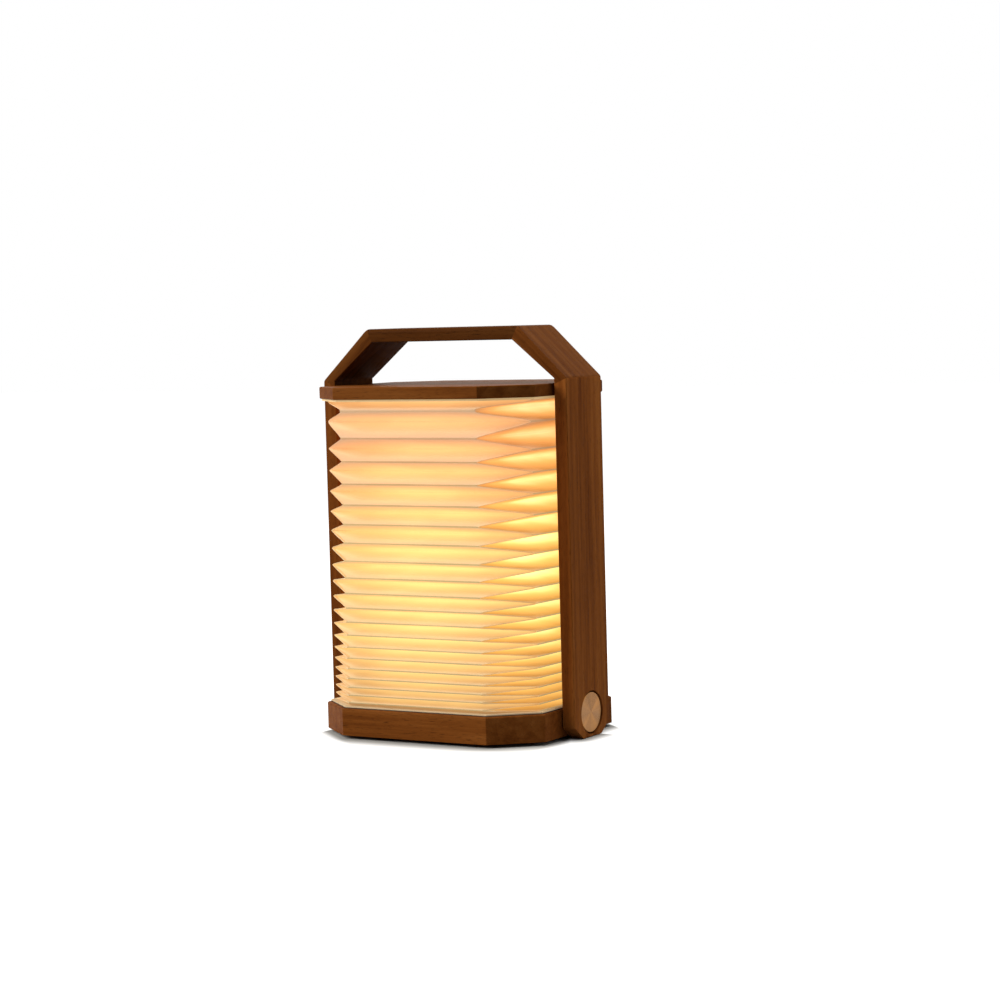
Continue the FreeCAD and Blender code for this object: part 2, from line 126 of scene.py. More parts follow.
# Moulded, pressed and coated pieces: finish, colour, fleck, grain size, roughness, grain depth
SPECKLED_LIGHT = {
    "led_board": ("white_mask", (0.78, 0.78, 0.76), (0.86, 0.86, 0.84), 0.0004, 0.4, 0.00002),
    "led_chips": ("phosphor_gel", (0.85, 0.62, 0.09), (0.92, 0.74, 0.18), 0.0003, 0.35, 0.00002),
    "led_diffuser": ("opal_cover", (0.86, 0.83, 0.76), (0.90, 0.88, 0.82), 0.0006, 0.5, 0.00002),
}
SPECKLED_BASE = {
    "base_cover": ("textured_cover", (0.016, 0.013, 0.011), (0.030, 0.025, 0.021),
                   0.0004, 0.55, 0.00005),
    "rubber_feet": ("foot_rubber", (0.012, 0.012, 0.012), (0.024, 0.024, 0.023),
                    0.0003, 0.8, 0.00004),
    "battery_pack": ("battery_wrap", (0.03, 0.10, 0.24), (0.045, 0.13, 0.29), 0.002, 0.25, 0.00002),
    "control_board": ("solder_mask", (0.006, 0.07, 0.022), (0.012, 0.10, 0.032),
                      0.0008, 0.35, 0.00002),
    "board_spacers": ("nylon", (0.68, 0.66, 0.60), (0.74, 0.72, 0.66), 0.0004, 0.5, 0.00002),
    "push_switch": ("switch_black", (0.012, 0.012, 0.012), (0.02, 0.02, 0.02),
                    0.0003, 0.45, 0.00002),
}
# Metal pieces: finish, colour, fleck, axis of the scratches, roughness
BRUSHED_BASE = {
    "cover_screws": ("zinc_screw", (0.42, 0.41, 0.39), (0.56, 0.55, 0.52), 1, 0.35),
    "upper_card_screws": ("zinc_card_screw", (0.42, 0.41, 0.39), (0.56, 0.55, 0.52), 1, 0.35),
    "usb_socket": ("drawn_steel", (0.46, 0.46, 0.46), (0.62, 0.62, 0.61), 1, 0.30),
    "lid_magnets": ("nickel_lid", (0.56, 0.55, 0.52), (0.66, 0.65, 0.62), 0, 0.22),
    "leg_magnets": ("nickel_leg", (0.56, 0.55, 0.52), (0.66, 0.65, 0.62), 0, 0.22),
}


def length_property(name, description, default):
    return bpy.props.FloatProperty(name=name, description=description, default=default, min=0.0,
                                   precision=5, subtype="DISTANCE", unit="LENGTH")


def share_property(name, description, default):
    return bpy.props.FloatProperty(name=name, description=description, default=default, min=0.0,
                                   max=1.0, subtype="FACTOR")


def colour_property(name, description, default):
    return bpy.props.FloatVectorProperty(name=name, description=description, default=default,
                                         size=3, min=0.0, max=1.0, subtype="COLOR")


def angle_property(name, description, degrees):
    return bpy.props.FloatProperty(name=name, description=description,
                                   default=math.radians(degrees), subtype="ANGLE", unit="ROTATION")


def level_property(name, description, default):
    return bpy.props.FloatProperty(name=name, description=description, default=default, min=0.0)


class ShadeSettings(bpy.types.PropertyGroup):
    pleats: bpy.props.IntProperty(name="Pleats", description="Pleats from card to card",
                                  default=20, min=2)
    strip_width: length_property("Strip width", "Paper between one fold and the next", 0.0248)
    middle_length: length_property("Middle length", "Half the length between end folds", 0.0563)
    middle_depth: length_property("Middle depth", "Half the depth between front folds", 0.0466)
    end_share: share_property("End folding", "How far the ends fold in, 1 being fully", 0.96)
    front_share: share_property("Front folding", "How far the front folds in, 1 being fully", 0.895)
    even_spread: share_property("Even spread", "Share of the height spread evenly", 0.442)
    late_spread: share_property("Late spread", "Share spread towards the very top", 0.102)
    top_lift: length_property("Top lift", "How much higher the top two folds lie", 0.0019)
    thickness: length_property("Paper thickness", "Thickness of the paper", 0.0003)
    fold_height: length_property("Fold height", "Height of a fold's blunt edge", 0.0005)
    fold_round: length_property("Fold rounding", "How far a fold's edge is rounded back", 0.00012)
    corner_round: length_property("Corner rounding", "Width of the diagonal corner folds", 0.00045)
    top_softness: share_property("Top softness", "How rounded the uppermost folds are", 0.9)
    top_blunt: level_property("Top bluntness", "How much blunter the uppermost folds are", 2.5)
    unevenness: share_property("Unevenness", "How far pleats differ, as a share of a pleat", 0.03)
    ripple: length_property("Ripple", "Depth of the paper's gentle ripple", 0.0005)
    ripple_size: length_property("Ripple size", "Width of one ripple", 0.035)
    paper: colour_property("Paper", "Colour of the paper by daylight", (0.52, 0.46, 0.38))
    # Darker along the folds: partly the paper's own fold line, partly painted shade in the fold
    fold_line_and_shade: colour_property("Crease", "Colour of the paper along its folds", (0.16, 0.11, 0.06))
    front_near: colour_property("Front near", "Glow of the front's inner folds", (0.83, 0.58, 0.20))
    front_middle: colour_property("Front middle", "Glow of the front's outer folds",
                                  (0.54, 0.30, 0.10))
    front_far: colour_property("Front far", "Glow of the front's corners", (0.42, 0.29, 0.12))
    end_near: colour_property("End near", "Glow of the ends' inner folds", (1.0, 0.86, 0.33))
    end_middle: colour_property("End middle", "Glow halfway out on the ends", (0.80, 0.46, 0.11))
    end_far: colour_property("End far", "Glow of the ends' outer folds", (0.46, 0.20, 0.03))
    glow_crease: colour_property("Glow crease", "Glow along the folds", (0.48, 0.36, 0.16))
    glow_top: colour_property("Glow top", "Tint of the glow under the lid", (0.86, 0.70, 0.82))
    glow_foot: colour_property("Glow foot", "Tint of the glow at the foot", (0.78, 0.78, 0.86))
    glow: level_property("Glow strength", "Strength of the glow", 1.0)


class WoodSettings(bpy.types.PropertyGroup):
    dark: colour_property("Dark grain", "Colour of the dark streaks", (0.075, 0.0195, 0.0034))
    middle: colour_property("Ground", "Colour of most of the wood", (0.160, 0.0510, 0.0100))
    light: colour_property("Light grain", "Colour of the pale streaks", (0.240, 0.0900, 0.0220))
    pore: colour_property("Pores", "Colour of the open pores", (0.036, 0.0105, 0.0025))
    streak_length: length_property("Streak length", "Length of a streak along the grain", 0.11)
    streak_width: length_property("Streak width", "Width of a streak across the grain", 0.0045)
    ring_pitch: length_property("Ring pitch", "Distance between growth rings", 0.0065)
    pore_length: length_property("Pore length", "Length of a pore", 0.006)
    pore_width: length_property("Pore width", "Width of a pore", 0.00032)
    end_grain: share_property("End grain", "How much darker cut ends are", 0.35)
    roughness: share_property("Roughness", "Roughness of the oiled surface", 0.44)
    sheen: share_property("Sheen", "Strength of the oil's reflections", 0.010)


class BrassSettings(bpy.types.PropertyGroup):
    colour: colour_property("Brass", "Colour of the lacquered brass", (0.35, 0.160, 0.044))
    # The darker colour is partly the duller turns, partly the dark fans of the painted sheen
    dull_turns_and_fan_shade: colour_property("Dull brass", "Colour of the duller turns", (0.19, 0.083, 0.021))
    ring_pitch: length_property("Turning pitch", "Distance between turning marks", 0.0003)
    roughness: share_property("Roughness", "Roughness of the spun face", 0.30)
    spun: share_property("Spun sheen", "How strongly the sheen fans out from the middle", 0.75)


class StageSettings(bpy.types.PropertyGroup):
    azimuth: angle_property("Azimuth", "Camera's turn from the front towards the right", 31.24)
    elevation: angle_property("Elevation", "Camera's height above the horizon", 3.91)
    roll: angle_property("Roll", "Camera's roll", 1.54)
    distance: length_property("Distance", "Camera's distance from its aim", 1.53994)
    aim: bpy.props.FloatVectorProperty(name="Aim", description="Point in the picture's middle",
                                       default=(0.02446, 0.0, 0.13325), subtype="XYZ",
                                       unit="LENGTH")
    lens: bpy.props.FloatProperty(name="Lens", description="Focal length in millimetres",
                                  default=97.677, min=1.0)
    rise: bpy.props.FloatProperty(name="Rise", description="Shift of the picture, in widths",
                                  default=-0.002)
    floor: colour_property("Floor", "Colour of the floor", (0.44, 0.48, 0.54))
    shadow_width: length_property("Shadow width", "Width of the shadow beside the base", 0.0024)
    shadow_turn: angle_property("Shadow turn", "Where the shadow is longest, from front to right",
                                30.0)
    shadow_stretch: level_property("Shadow stretch", "How much longer the shadow is there", 11.0)
    surround: level_property("Surround", "Even light from all round", 0.09)
    light: colour_property("Light", "Colour of the lamps", (1.0, 0.89, 0.72))
    key: level_property("Key light", "Light on a face turned to the key lamp", 1.15)
    top: level_property("Top light", "Light on a face turned to the top lamp", 0.60)
    side: level_property("Side light", "Light on a face turned to the side lamp", 0.19)
    rim: level_property("Rim light", "Light on a face turned to the lamp behind", 0.12)


def deselect():
    if bpy.context.object and bpy.context.object.mode != "OBJECT":
        bpy.ops.object.mode_set(mode="OBJECT")
    bpy.ops.object.select_all(action="DESELECT")


def apply_modifier(piece, kind, **settings):
    modifier = piece.modifiers.new(kind.title(), kind)
    for key, value in settings.items():
        setattr(modifier, key, value)
    bpy.context.view_layer.objects.active = piece
    bpy.ops.object.modifier_apply(modifier=modifier.name)


def add_node(tree, kind, inputs=None, **settings):
    made = tree.nodes.new("ShaderNode" + kind)
    for key, value in settings.items():
        setattr(made, key, value)
    for key, value in (inputs or {}).items():
        if isinstance(value, bpy.types.NodeSocket):
            tree.links.new(value, made.inputs[key])
        else:
            made.inputs[key].default_value = value
    return made


def new_material(name, **shader_values):
    material = bpy.data.materials.new(name)
    material.use_nodes = True
    tree = material.node_tree
    shader = tree.nodes["Principled BSDF"]
    for key, value in shader_values.items():
        shader.inputs[key.replace("_", " ")].default_value = value
    return material, tree, shader


def object_place(tree):
    return add_node(tree, "TexCoord").outputs["Object"]


def stretched(tree, place, sizes):
    """Coordinates in which one unit is a feature of these sizes in metres"""
    scale = [1 / size for size in sizes]
    return add_node(tree, "Mapping", {"Vector": place, "Scale": scale}).outputs["Vector"]


def noise(tree, place, detail, roughness=0.5):
    made = add_node(tree, "TexNoise", {"Vector": place, "Scale": 1.0, "Detail": detail,
                                       "Roughness": roughness})
    return made.outputs["Fac"]


def ramp(tree, factor, stops):
    made = add_node(tree, "ValToRGB", {"Fac": factor})
    elements = made.color_ramp.elements
    while len(elements) < len(stops):
        elements.new(0.5)
    for element, (position, colour) in zip(elements, stops):
        element.position = position
        element.color = (*colour, 1.0)
    return made.outputs["Color"]


def spread(tree, factor, low, high, to_low, to_high):
    made = add_node(tree, "MapRange", {"Value": factor, "From Min": low, "From Max": high,
                                       "To Min": to_low, "To Max": to_high})
    return made.outputs["Result"]


def calculate(tree, operation, first, second):
    return add_node(tree, "Math", {0: first, 1: second}, operation=operation).outputs["Value"]


def mix_colour(tree, factor, first, second, blend="MIX"):
    made = tree.nodes.new("ShaderNodeMix")
    made.data_type = "RGBA"
    made.blend_type = blend
    for index, value in ((0, factor), (6, first), (7, second)):
        if isinstance(value, bpy.types.NodeSocket):
            tree.links.new(value, made.inputs[index])
        elif index == 0:
            made.inputs[index].default_value = value
        else:
            made.inputs[index].default_value = (*value, 1.0)
    return made.outputs[2]


def bump(tree, shader, height, depth, strength=1.0):
    made = add_node(tree, "Bump", {"Height": height, "Distance": depth, "Strength": strength})
    tree.links.new(made.outputs["Normal"], shader.inputs["Normal"])


def dress(name, material):
    mesh = NODES[name].data
    mesh.materials.clear()
    mesh.materials.append(material)


def fold_levels(paper):
    """Half length, half depth and height of each fold line, from the lower card to the upper"""
    low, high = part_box("paper_shade")
    count = paper.pleats * 2
    early = 1 - paper.even_spread - paper.late_spread
    heights = []
    for index in range(count + 1):
        part = index / count
        share = paper.even_spread * part + early * part ** 2 + paper.late_spread * part ** 3
        lift = paper.top_lift if count - 2 <= index < count else 0
        heights.append(low.z + (high.z - low.z) * share + lift)
    rises = [above - below for below, above in zip(heights, heights[1:])]
    levels = []
    for index, z in enumerate(heights):
        near = rises[max(index - 1, 0):index + 1]
        rise = sum(near) / len(near)
        reach = math.sqrt(paper.strip_width ** 2 - rise * rise) / 2
        out = reach if index % 2 == 0 else -reach
        uneven = paper.unevenness * rise * math.sin(index * UNEVEN_TURN) if 0 < index < count else 0
        levels.append((paper.middle_length + out * paper.end_share,
                       paper.middle_depth - out * paper.front_share, z + uneven))
    return levels


def softness(index, paper):
    """How soft a fold is, from 0 low down to 1 at the very top"""
    return (index / paper.pleats / 2) ** SOFT_POWER


def fold_rows(paper):
    """Every row of the sleeve: half length, half depth, height and the fold it lies on, if any"""
    levels = fold_levels(paper)
    top = len(levels) - 1
    rows = []
    for index, (x, y, z) in enumerate(levels):
        blunt = 1 + paper.top_blunt * softness(index, paper) if index < top else 1
        back = paper.fold_round * blunt
        nose = paper.fold_height / 2 * blunt
        pulled = (x - back, y) if index % 2 == 0 else (x, y - back)
        if index:
            rows.append((*pulled, z - nose, index))
        rows.append((x, y, z, index))
        if index == top:
            break
        rows.append((*pulled, z + nose, index))
        next_x, next_y, next_z = levels[index + 1]
        next_blunt = 1 + paper.top_blunt * softness(index + 1, paper) if index + 1 < top else 1
        next_nose = paper.fold_height / 2 * next_blunt
        soft = paper.top_softness * softness(index + 1, paper)
        for share in STRIP_ROW_SHARES:
            curved = (1 - math.cos(math.pi * share)) / 2
            across = share + (curved - share) * soft
            height = z + nose + (next_z - z - nose - next_nose) * share
            rows.append((x + (next_x - x) * across, y + (next_y - y) * across, height, None))
    return rows


def extrude_sleeve(rows):
    """A four-sided sleeve, drawn up from its lowest rectangle row by row"""
    x, y, z, fold = rows[0]
    bpy.ops.mesh.primitive_plane_add(size=2.0, location=(0, 0, 0))
    sleeve = bpy.context.object
    bpy.ops.object.mode_set(mode="EDIT")
    bpy.ops.mesh.delete(type="ONLY_FACE")
    bpy.ops.mesh.select_all(action="SELECT")
    bpy.ops.transform.resize(value=(x, y, 1), center_override=(0, 0, 0))
    bpy.ops.transform.translate(value=(0, 0, z))
    for next_x, next_y, next_z, fold in rows[1:]:
        bpy.ops.mesh.extrude_edges_move(TRANSFORM_OT_translate={"value": (0, 0, next_z - z)})
        bpy.ops.transform.resize(value=(next_x / x, next_y / y, 1), center_override=(0, 0, next_z))
        x, y, z = next_x, next_y, next_z
    return sleeve


def select_edges(piece, wanted):
    bpy.ops.mesh.select_mode(type="EDGE")
    bpy.ops.mesh.select_all(action="DESELECT")
    mesh = bmesh.from_edit_mesh(piece.data)
    for edge in mesh.edges:
        if wanted(edge.verts[0].co, edge.verts[1].co):
            edge.select_set(True)
    mesh.select_flush_mode()
    bmesh.update_edit_mesh(piece.data)


def level_edge(a, b):
    return abs(a.z - b.z) < SAME_PLACE


def round_corners(sleeve, rows, paper):
    """Divides the panels along their length and rounds the diagonal folds at the corners"""
    corners = {(round(x / SAME_PLACE), round(y / SAME_PLACE)) for x, y, z, fold in rows}

    def at_corner(place):
        return (round(abs(place.x) / SAME_PLACE), round(abs(place.y) / SAME_PLACE)) in corners

    select_edges(sleeve, level_edge)
    bpy.ops.mesh.subdivide(number_cuts=PANEL_CUTS)
    select_edges(sleeve, lambda a, b: not level_edge(a, b) and at_corner(a) and at_corner(b))
    bpy.ops.mesh.bevel(offset=paper.corner_round, segments=2, affect="EDGES")
    bpy.ops.mesh.select_all(action="SELECT")
    bpy.ops.mesh.normals_make_consistent(inside=False)
    bpy.ops.object.mode_set(mode="OBJECT")


def face_outwards(sleeve):
    """Turns the sleeve's faces over if most of them face inwards"""
    outward = sum(face.normal.x * face.center.x + face.normal.y * face.center.y
                  for face in sleeve.data.polygons)
    if outward < 0:
        bpy.ops.object.mode_set(mode="EDIT")
        bpy.ops.mesh.select_all(action="SELECT")
        bpy.ops.mesh.flip_normals()
        bpy.ops.object.mode_set(mode="OBJECT")


def mark_folds(sleeve, rows, paper):
    """Stores how far out each point lies, and which points lie on a fold that stands out"""
    heights = [z for x, y, z, fold in rows]
    short, long = (pick(x for x, y, z, fold in rows) for pick in (min, max))
    shallow, deep = (pick(y for x, y, z, fold in rows) for pick in (min, max))
    front_reach = math.hypot(short * FRONT_SIDEWAYS, deep) - shallow
    end_reach = math.hypot(long, shallow * END_SIDEWAYS) - short
    levels = fold_levels(paper)
    reaches = []
    creases = []
    ends = []
    for point in sleeve.data.vertices:
        place = point.co
        above = min(bisect.bisect(heights, place.z), len(rows) - 1)
        x, y, z, fold = min(rows[above - 1:above + 1], key=lambda row: abs(row[2] - place.z))
        end_gap = x - abs(place.x)
        front_gap = y - abs(place.y)
        if end_gap < front_gap:
            reaches.append((math.hypot(place.x, place.y * END_SIDEWAYS) - short) / end_reach)
        else:
            reaches.append((math.hypot(place.x * FRONT_SIDEWAYS, place.y) - shallow) / front_reach)
        on_corner = max(end_gap, front_gap) < paper.corner_round * CORNER_CREASE_SHARE
        outer_gap = 1.0 if fold is None else (end_gap, front_gap)[fold % 2]
        soft = softness(fold, paper) if fold and fold < paper.pleats * 2 else 0
        middle = fold is not None and z == levels[fold][2]
        crisp = (1 - soft * SOFT_FADE) * (1 if middle else 1 - soft)
        creases.append(crisp if on_corner or outer_gap < SAME_PLACE else 0.0)
        ends.append(0.5 if on_corner else float(end_gap < front_gap))
    for name, values in (("reach", reaches), ("fold_line_and_shade", creases), ("end", ends)):
        layer = sleeve.data.attributes.new(name, "FLOAT", "POINT")
        layer.data.foreach_set("value", values)


def thicken_paper(sleeve, paper):
    texture = bpy.data.textures.new("paper_ripple", "CLOUDS")
    texture.noise_scale = paper.ripple_size
    apply_modifier(sleeve, "DISPLACE", texture=texture, strength=paper.ripple, mid_level=0.5)
    apply_modifier(sleeve, "SOLIDIFY", thickness=paper.thickness, offset=-1.0,
                   use_even_offset=False)


def paper_material(paper):
    material, tree, shader = new_material("lit_fibre_paper", Roughness=0.85)
    shader.inputs["Specular IOR Level"].default_value = 0.15
    place = object_place(tree)
    reach = add_node(tree, "Attribute", attribute_name="reach").outputs["Fac"]
    fold_line_and_shade = add_node(tree, "Attribute", attribute_name="fold_line_and_shade").outputs["Fac"]
    clouds = noise(tree, stretched(tree, place, CLOUD_SIZES), 3.0)
    fibres = noise(tree, stretched(tree, place, FIBRE_SIZES), 4.0, 0.65)
    cross = noise(tree, stretched(tree, place, CROSS_FIBRE_SIZES), 4.0, 0.65)
    pulp = calculate(tree, "ADD", fibres, cross)
    drift = spread(tree, clouds, 0.3, 0.7, -0.10, 0.10)
    reach = calculate(tree, "ADD", reach, drift)
    front_glows = (paper.front_near, paper.front_middle, paper.front_far)
    front = ramp(tree, reach, tuple(zip(FRONT_STOPS, front_glows)))
    end_glows = (paper.end_near, paper.end_middle, paper.end_far)
    side = ramp(tree, reach, tuple(zip(END_STOPS, end_glows)))
    end = add_node(tree, "Attribute", attribute_name="end").outputs["Fac"]
    glow = mix_colour(tree, end, front, side)
    shade = spread(tree, pulp, 0.75, 1.25, 0.90, 1.06)
    glow = mix_colour(tree, 1.0, glow, shade, "MULTIPLY")
    # Along the folds the glow is dimmer and the paper darker: partly the fold line itself, partly
    # painted shade
    glow = mix_colour(tree, fold_line_and_shade, glow, paper.glow_crease)
    ground = mix_colour(tree, spread(tree, pulp, 0.7, 1.3, 0.0, 0.25), paper.paper, paper.fold_line_and_shade)
    ground = mix_colour(tree, fold_line_and_shade, ground, paper.fold_line_and_shade)
    tree.links.new(ground, shader.inputs["Base Color"])
    low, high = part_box("paper_shade")
    height = add_node(tree, "SeparateXYZ", {"Vector": place}).outputs["Z"]
    part = spread(tree, height, low.z, high.z, 0.0, 1.0)
    tint = ramp(tree, part, ((0.0, paper.glow_foot), *GLOW_TINTS, (1.0, paper.glow_top)))
    tree.links.new(mix_colour(tree, 1.0, glow, tint, "MULTIPLY"), shader.inputs["Emission Color"])
    shader.inputs["Emission Strength"].default_value = paper.glow
    bump(tree, shader, pulp, PULP_DEPTH)
    return material


def walnut_material(name, turn, shift, tone_and_light, wood):
    """Oiled walnut whose grain runs along X after the turn"""
    material, tree, shader = new_material(name)
    shader.inputs["Specular IOR Level"].default_value = wood.sheen
    coordinates = add_node(tree, "TexCoord")
    board = add_node(tree, "Mapping", {"Vector": coordinates.outputs["Object"],
                                       "Rotation": turn, "Location": shift}).outputs["Vector"]
    across = wood.streak_width
    streaks = noise(tree, stretched(tree, board, (wood.streak_length, across, across)), 5.0, 0.6)
    broad_sizes = (wood.streak_length * 2, across * 5, across * 5)
    broad = noise(tree, stretched(tree, board, broad_sizes), 2.0)
    waver = wood.ring_pitch * 12
    rings = add_node(tree, "TexWave", {
        "Vector": stretched(tree, board, (waver, wood.ring_pitch, wood.ring_pitch)),
        "Scale": math.tau / 20, "Distortion": 5.0, "Detail": 3.0, "Detail Scale": 0.35},
        wave_type="RINGS", rings_direction="X", wave_profile="SAW").outputs["Fac"]
    pore_sizes = (wood.pore_length, wood.pore_width, wood.pore_width)
    pores = noise(tree, stretched(tree, board, pore_sizes), 2.0)
    fibre_sizes = (wood.pore_length * 3, wood.pore_width / 2, wood.pore_width / 2)
    fibre = noise(tree, stretched(tree, board, fibre_sizes), 2.0)
    figure = calculate(tree, "MULTIPLY", streaks, STREAK_WEIGHT)
    for part, weight in ((broad, BROAD_WEIGHT), (rings, RING_WEIGHT), (fibre, FIBRE_WEIGHT)):
        figure = calculate(tree, "ADD", figure, calculate(tree, "MULTIPLY", part, weight))
    colour = ramp(tree, figure, tuple(zip(FIGURE_STOPS, (wood.dark, wood.middle, wood.light))))
    open_pores = spread(tree, pores, 0.60, 0.70, 0.0, 0.75)
    colour = mix_colour(tree, open_pores, colour, wood.pore)
    grain = add_node(tree, "VectorRotate", {"Vector": coordinates.outputs["Normal"],
                                            "Rotation": turn}, rotation_type="EULER_XYZ")
    along = add_node(tree, "SeparateXYZ", {"Vector": grain.outputs["Vector"]}).outputs["X"]
    cut_end = calculate(tree, "MULTIPLY", calculate(tree, "ABSOLUTE", along, 0.0), wood.end_grain)
    colour = mix_colour(tree, cut_end, colour, wood.dark)
    # The whole board is lightened or darkened: partly its own tone, partly painted light and shade
    colour = mix_colour(tree, 1.0, colour, (tone_and_light,) * 3, "MULTIPLY")
    tree.links.new(colour, shader.inputs["Base Color"])
    sheen = spread(tree, fibre, 0.3, 0.7, wood.roughness - 0.05, wood.roughness + 0.10)
    tree.links.new(sheen, shader.inputs["Roughness"])
    height = calculate(tree, "SUBTRACT", calculate(tree, "MULTIPLY", fibre, 0.4), open_pores)
    bump(tree, shader, height, PORE_DEPTH, 0.6)
    return material


def brass_material(name, centre, brass):
    """Brass turned on a lathe about the pivot, with fine rings and a sheen that fans out, both as
    anisotropy and as painted light and dark fans in the colour
    """
    material, tree, shader = new_material(name, Metallic=1.0, Anisotropic=brass.spun)
    place = add_node(tree, "Mapping", {"Vector": object_place(tree), "Location": -centre})
    parts = add_node(tree, "SeparateXYZ", {"Vector": place.outputs["Vector"]}).outputs
    flat = add_node(tree, "CombineXYZ", {"Y": parts["Y"], "Z": parts["Z"]}).outputs["Vector"]
    radius = add_node(tree, "VectorMath", {"Vector": flat}, operation="LENGTH").outputs["Value"]
    angle = calculate(tree, "MULTIPLY", radius, math.tau / brass.ring_pitch)
    turns = calculate(tree, "SINE", angle, 0.0)
    ring_place = add_node(tree, "CombineXYZ", {"X": radius}).outputs["Vector"]
    uneven = noise(tree, stretched(tree, ring_place, (brass.ring_pitch * 2,) * 3), 4.0, 0.7)
    spoke = add_node(tree, "VectorMath", {"Vector": flat}, operation="NORMALIZE").outputs["Vector"]
    # Painted sheen: the colour turns lighter and darker in fans round the middle, as a spun face's
    # highlight
    painted_sheen_fans = noise(tree, stretched(tree, spoke, (0.7,) * 3), 3.0, 0.6)
    colour = ramp(tree, calculate(tree, "ADD", calculate(tree, "MULTIPLY", uneven, 0.3),
                                  calculate(tree, "MULTIPLY", painted_sheen_fans, 0.7)),
                  ((0.35, brass.dull_turns_and_fan_shade), (0.65, brass.colour)))
    tree.links.new(colour, shader.inputs["Base Color"])
    rough = spread(tree, painted_sheen_fans, 0.3, 0.7, brass.roughness - 0.05, brass.roughness + 0.08)
    tree.links.new(rough, shader.inputs["Roughness"])
    tangent = add_node(tree, "Tangent", direction_type="RADIAL", axis="X")
    tree.links.new(tangent.outputs["Tangent"], shader.inputs["Tangent"])
    bump(tree, shader, calculate(tree, "ADD", turns, uneven), TURNING_DEPTH)
    return material


def speckled_material(name, colour, fleck, size, roughness, depth=0.00002, **shader_values):
    """A moulded, pressed or coated finish: one colour flecked with another, finely grained"""
    material, tree, shader = new_material(name, **shader_values)
    place = object_place(tree)
    grains = noise(tree, stretched(tree, place, (size,) * 3), 4.0, 0.6)
    patches = noise(tree, stretched(tree, place, (size * 20,) * 3), 2.0)
    factor = calculate(tree, "ADD", calculate(tree, "MULTIPLY", grains, 0.6),
                       calculate(tree, "MULTIPLY", patches, 0.4))
    tree.links.new(ramp(tree, factor, ((0.35, colour), (0.65, fleck))), shader.inputs["Base Color"])
    rough = spread(tree, grains, 0.3, 0.7, roughness - 0.06, roughness + 0.06)
    tree.links.new(rough, shader.inputs["Roughness"])
    bump(tree, shader, grains, depth)
    return material


def brushed_material(name, colour, fleck, along, roughness):
    """Metal drawn or rolled along one axis, with fine scratches"""
    material, tree, shader = new_material(name, Metallic=1.0)
    place = object_place(tree)
    sizes = [SCRATCH_LENGTH if axis == along else SCRATCH_WIDTH for axis in range(3)]
    scratches = noise(tree, stretched(tree, place, sizes), 3.0, 0.6)
    ground = ramp(tree, scratches, ((0.35, colour), (0.65, fleck)))
    tree.links.new(ground, shader.inputs["Base Color"])
    rough = spread(tree, scratches, 0.3, 0.7, roughness - 0.08, roughness + 0.08)
    tree.links.new(rough, shader.inputs["Roughness"])
    bump(tree, shader, scratches, SCRATCH_DEPTH)
    return material


class LANTERN_OT_fold_shade(bpy.types.Operator):
    """Fold the paper shade between the two cards, crease by crease"""
    bl_idname = "lantern.fold_shade"
    bl_label = "Fold the paper shade"

    def execute(self, context):
        paper = context.scene.lantern_shade
        rows = fold_rows(paper)
        deselect()
        shade = extrude_sleeve(rows)
        shade.name = "pleated_shade"
        round_corners(shade, rows, paper)
        face_outwards(shade)
        mark_folds(shade, rows, paper)
        thicken_paper(shade, paper)
        shade.data.materials.append(paper_material(paper))
        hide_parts("paper_shade")
        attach(shade, "base")
        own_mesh(shade)
        return {"FINISHED"}


class LANTERN_OT_finish_walnut(bpy.types.Operator):
    """Oil the walnut boards, each with its grain along its length"""
    bl_idname = "lantern.finish_walnut"
    bl_label = "Finish the walnut boards"

    def execute(self, context):
        wood = context.scene.lantern_wood
        bar_low, bar_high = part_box("top_bar")
        leg_low, leg_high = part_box("right_leg")
        slope = math.atan2(bar_high.z - leg_high.z, leg_high.x - bar_high.x)
        upright = (0, math.pi / 2, 0)
        # Each board's turn, the place of its figure and how light it is drawn, partly the wood's
        # own tone and partly painted light and shade
        boards = {
            "base_block": ((0, 0, 0), (0.05, 0.031, -0.012), 1.16),
            "lid_board": ((0, 0, 0), (0.37, 0.012, -0.171), 0.95),
            "right_leg": (upright, (0.21, 0.043, 0.118), 1.42),
            "left_leg": (upright, (0.63, 0.027, -0.083), 0.9),
            "right_shoulder": ((0, math.pi - slope, 0), (0.49, 0.035, 0.021), 1.0),
            "left_shoulder": ((0, slope, 0), (0.81, 0.041, 0.037), 0.68),
            "top_bar": ((0, 0, 0), (0.91, 0.022, -0.209), 0.46),
        }
        for name, (turn, shift, tone_and_light) in boards.items():
            dress(name, walnut_material("walnut_" + name, turn, shift, tone_and_light, wood))
        beech = speckled_material("sawn_beech", (0.44, 0.27, 0.14), (0.53, 0.35, 0.20), 0.0008, 0.7)
        dress("mitre_splines", beech)
        return {"FINISHED"}


class LANTERN_OT_spin_brass(bpy.types.Operator):
    """Turn and lacquer the brass button, cap and hubs"""
    bl_idname = "lantern.spin_brass"
    bl_label = "Spin the brass discs"

    def execute(self, context):
        material = brass_material("spun_brass", PIVOT, context.scene.lantern_brass)
        for name in ("power_button", "pivot_cap", "right_hub", "left_hub"):
            dress(name, material)
        return {"FINISHED"}


